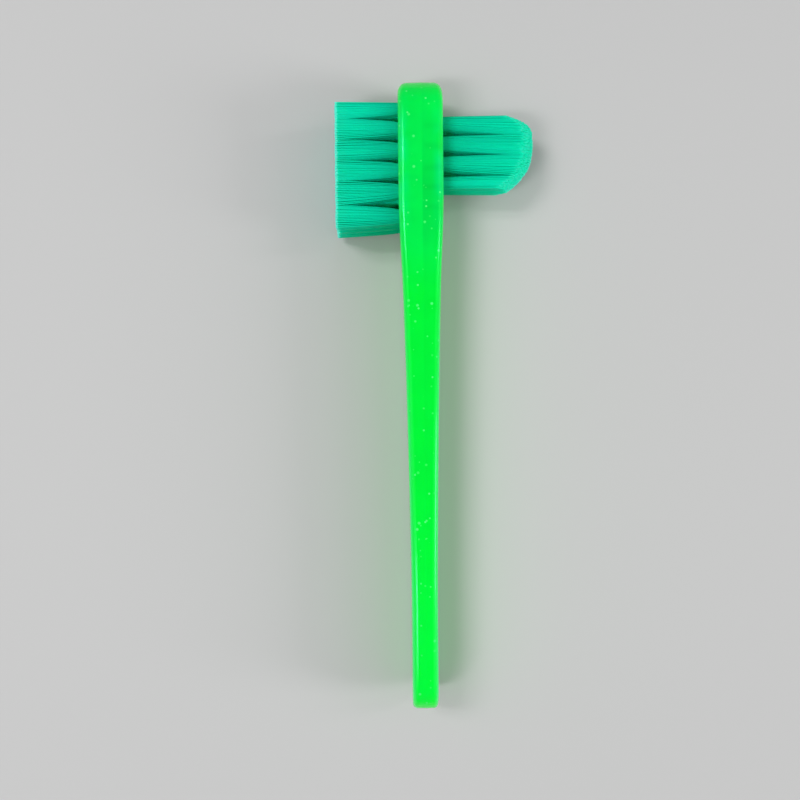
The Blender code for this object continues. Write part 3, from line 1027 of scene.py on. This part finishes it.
def grow_tuft(tuft, filament, trim, settings, chance):
    """Copies the filament over the tuft's root, and leans, lengthens and trims each copy."""
    radius = settings.filament / 2
    tip_radius = settings.filament_tip / 2
    turn_of_grid = chance.uniform(0.0, math.pi / 3)
    places = hexagonal_places(BUNDLE_RADIUS - radius, settings.spacing, turn_of_grid)
    outermost = max(math.hypot(y, z) for y, z in places)
    low_y, high_y, low_z, high_z = trim.tip_reach(tuft)
    scale_y = (high_y - low_y) / 2 - tip_radius
    scale_z = (high_z - low_z) / 2 - tip_radius
    lean_y = (high_y + low_y) / 2
    lean_z = (high_z + low_z) / 2
    rod = [vert.co.copy() for vert in filament.data.vertices]
    rod_faces = [tuple(polygon.vertices) for polygon in filament.data.polygons]
    verts, faces, places_along, tones, paleness = [], [], [], [], []
    start = abs(tuft.hole.x) + START_ABOVE_ANCHOR
    for y, z in places:
        stray = [chance.gauss(0.0, settings.wander) for _ in range(4)]
        base_y = y + ROOT_STRAY * stray[0]
        base_z = z + ROOT_STRAY * stray[1]
        tip_y, tip_z = squared(y / outermost, z / outermost, settings.squareness)
        tip_y = tip_y * scale_y + lean_y + stray[2]
        tip_z = tip_z * scale_z + lean_z + stray[3]
        top = trim.height(tuft.hole.y + tip_y, tuft.hole.z + tip_z)
        top -= settings.crown * (y * y + z * z) / (outermost * outermost)
        top -= abs(chance.gauss(0.0, trim.unevenness))
        bow = chance.uniform(*BOW)
        turn = chance.uniform(0.0, math.pi / 3)
        tone = chance.uniform(*FILAMENT_TONES)
        flank = settings.flank_shade * (y / outermost) ** 2
        inner = inner_light(tuft, trim, settings, y, z, outermost)
        pale = trim.paleness(tuft.hole.z + tip_z, chance)
        first = len(verts)
        for point in rod:
            along = min(point.z, 1.0)
            bent = along**bow
            width = 2 * (radius + (tip_radius - radius) * along)
            ring_y = (point.x * math.cos(turn) - point.y * math.sin(turn)) * width
            ring_z = (point.x * math.sin(turn) + point.y * math.cos(turn)) * width
            out = start + (top - start) * point.z / FILAMENT_END
            place_y = base_y + (tip_y - base_y) * bent + ring_y
            place_z = base_z + (tip_z - base_z) * bent + ring_z
            verts.append((tuft.side * out, tuft.hole.y + place_y, tuft.hole.z + place_z))
            places_along.append(((top - start) * (1.0 - point.z) / MM, point.z))
            tones.append(tone * tone_along(flank, inner, along))
            paleness.append(pale)
        for face in rod_faces:
            corners = [first + i for i in face]
            faces.append(corners if tuft.side > 0 else corners[::-1])
    return add_filaments(tuft.node, verts, faces, places_along, {"tone": tones, "pale_end": paleness})


def add_filaments(name, verts, faces, places_along, point_values):
    """Puts a tuft's filaments into one mesh, with the values that the nylon's material reads from it."""
    mesh = bpy.data.meshes.new(name)
    mesh.from_pydata(verts, [], faces)
    layer = mesh.uv_layers.new(name="along")
    for loop in mesh.loops:
        layer.data[loop.index].uv = places_along[loop.vertex_index]
    for key, values in point_values.items():
        attribute = mesh.attributes.new(key, "FLOAT", "POINT")
        attribute.data.foreach_set("value", values)
    item = bpy.data.objects.new(name, mesh)
    bpy.context.scene.collection.objects.link(item)
    return item


def grow_brush(brush, settings):
    """Every tuft of one side."""
    material = bpy.data.materials.get("teal_nylon") or nylon_material(settings)
    tufts = [Tuft(node) for node in TUFT_NODES if node.startswith(brush)]
    trim = Trim(tufts, settings)
    filament = model_filament(settings)
    chance = random.Random(settings.seed)
    for tuft in tufts:
        item = grow_tuft(tuft, filament, trim, settings, chance)
        start_edit(item, "VERT")
        bpy.ops.mesh.select_all(action="SELECT")
        bpy.ops.mesh.normals_make_consistent(inside=False)
        end_edit()
        bpy.ops.object.shade_smooth_by_angle(angle=FILAMENT_SMOOTH_ANGLE)
        finish_piece(item, tuft.node + "_filaments", material, "bristle_nylon", tuft.node)
    bpy.data.objects.remove(filament, do_unlink=True)


class RETAINERBRUSH_OT_flat_brush(bpy.types.Operator):
    """Grows the flat-trimmed brush"""

    bl_idname = "retainer_brush.flat_brush"
    bl_label = "Flat Brush"

    def execute(self, context):
        grow_brush("flat", context.scene.brush_tufts)
        return {"FINISHED"}


class RETAINERBRUSH_OT_domed_brush(bpy.types.Operator):
    """Grows the domed brush"""

    bl_idname = "retainer_brush.domed_brush"
    bl_label = "Domed Brush"

    def execute(self, context):
        grow_brush("dome", context.scene.brush_tufts)
        return {"FINISHED"}


class RETAINERBRUSH_OT_anchors(bpy.types.Operator):
    """Gives the anchors in the holes their wire"""

    bl_idname = "retainer_brush.anchors"
    bl_label = "Anchors"

    def execute(self, context):
        material = anchor_material()
        for node in ANCHOR_NODES:
            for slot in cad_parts[node].material_slots:
                slot.material = material
        return {"FINISHED"}


def add_lamp(name, place, size, power):
    """A soft oblong lamp that faces the handle. Its size is given across the handle, and then along it."""
    light = bpy.data.lights.new(name, "AREA")
    light.shape = "RECTANGLE"
    light.size_y, light.size = size
    light.energy = power
    lamp = bpy.data.objects.new(name, light)
    bpy.context.scene.collection.objects.link(lamp)
    lamp.location = place
    away = Vector((place[0], place[1], place[2] - MIDDLE.z)).normalized()
    along = (Vector((0.0, 1.0, 0.0)) - away * away.y).normalized()
    lamp.rotation_euler = Matrix((along, away.cross(along), away)).transposed().to_euler()


def floor_material(settings):
    """A plain matt floor."""
    material, _, shader = new_material("studio_floor")
    shader.inputs["Base Color"].default_value = rgba(settings.floor)
    shader.inputs["Roughness"].default_value = 0.9
    shader.inputs["Specular IOR Level"].default_value = 0.1
    return material


FLOOR_SIZE = 6.0
FLOOR_GAP = 0.12 * MM
WORLD_STRENGTH = 0.28
SENSOR_WIDTH = 36.0
CLIP_START = 1.0 * MM

# Each lamp's name, place, breadth across and along the handle, and power
LAMPS = (
    ("lamp_left_head", (-0.36, 0.28, 0.6), (0.26, 0.05), 0.58),
    ("lamp_left_neck", (-0.36, 0.178, 0.6), (0.26, 0.058), 0.85),
    ("lamp_left_tail", (-0.3, -0.22, 0.6), (0.26, 0.094), 1.2),
    ("lamp_right_head", (0.57, 0.15, 0.43), (0.26, 0.038), 0.42),
    ("lamp_right_tail", (0.67, -0.127, 0.276), (0.26, 0.185), 2.05),
    ("lamp_overhead_left", (-0.29, -0.03, 0.4), (0.34, 0.56), 0.4),
    ("lamp_overhead_right", (0.3, -0.03, 0.4), (0.3, 0.56), 0.3),
)


class RETAINERBRUSH_OT_stage(bpy.types.Operator):
    """Sets up the floor, the lamps and the camera"""

    bl_idname = "retainer_brush.stage"
    bl_label = "Stage"

    def execute(self, context):
        settings = context.scene.brush_stage
        scene = context.scene
        deselect_all()
        bpy.ops.mesh.primitive_plane_add(
            size=FLOOR_SIZE, location=(0.0, 0.0, HANDLE_LOW.z - FLOOR_GAP)
        )
        floor = context.object
        floor.name = "floor"
        floor.data.materials.append(floor_material(settings))
        world = bpy.data.worlds.new("studio")
        world.use_nodes = True
        background = world.node_tree.nodes["Background"]
        background.inputs["Color"].default_value = (1.0, 1.0, 1.0, 1.0)
        background.inputs["Strength"].default_value = WORLD_STRENGTH
        scene.world = world
        for name, place, size, power in LAMPS:
            add_lamp(name, place, size, power)
        camera_data = bpy.data.cameras.new("camera")
        camera_data.sensor_fit = "HORIZONTAL"
        camera_data.sensor_width = SENSOR_WIDTH
        camera_data.lens = SENSOR_WIDTH * settings.camera_height / settings.view_span
        camera_data.clip_start = CLIP_START
        camera = bpy.data.objects.new("camera", camera_data)
        scene.collection.objects.link(camera)
        camera.location = (settings.aim_x, settings.aim_y, MIDDLE.z + settings.camera_height)
        camera.rotation_euler = (0.0, 0.0, settings.roll)
        scene.camera = camera
        scene.view_settings.view_transform = "Standard"
        return {"FINISHED"}


class RETAINERBRUSH_PT_panel(bpy.types.Panel):
    """Lists the brush's pieces"""

    bl_label = "Retainer Brush"
    bl_idname = "RETAINERBRUSH_PT_panel"
    bl_space_type = "VIEW_3D"
    bl_region_type = "UI"
    bl_category = "Brush"

    def draw(self, context):
        for operator in OPERATORS:
            self.layout.operator(operator.bl_idname)


OPERATORS = (
    RETAINERBRUSH_OT_handle,
    RETAINERBRUSH_OT_flat_brush,
    RETAINERBRUSH_OT_domed_brush,
    RETAINERBRUSH_OT_anchors,
    RETAINERBRUSH_OT_stage,
)
SETTINGS = (HandleSettings, TuftSettings, StageSettings)


def register():
    for item in (*SETTINGS, *OPERATORS, RETAINERBRUSH_PT_panel):
        bpy.utils.register_class(item)
    bpy.types.Scene.brush_handle = PointerProperty(type=HandleSettings)
    bpy.types.Scene.brush_tufts = PointerProperty(type=TuftSettings)
    bpy.types.Scene.brush_stage = PointerProperty(type=StageSettings)


def unregister():
    del bpy.types.Scene.brush_handle
    del bpy.types.Scene.brush_tufts
    del bpy.types.Scene.brush_stage
    for item in reversed((*SETTINGS, *OPERATORS, RETAINERBRUSH_PT_panel)):
        bpy.utils.unregister_class(item)


def main():
    register()
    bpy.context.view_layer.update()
    bpy.ops.retainer_brush.handle()
    bpy.ops.retainer_brush.flat_brush()
    bpy.ops.retainer_brush.domed_brush()
    bpy.ops.retainer_brush.anchors()
    bpy.ops.retainer_brush.stage()


if __name__ == "__main__":
    main()
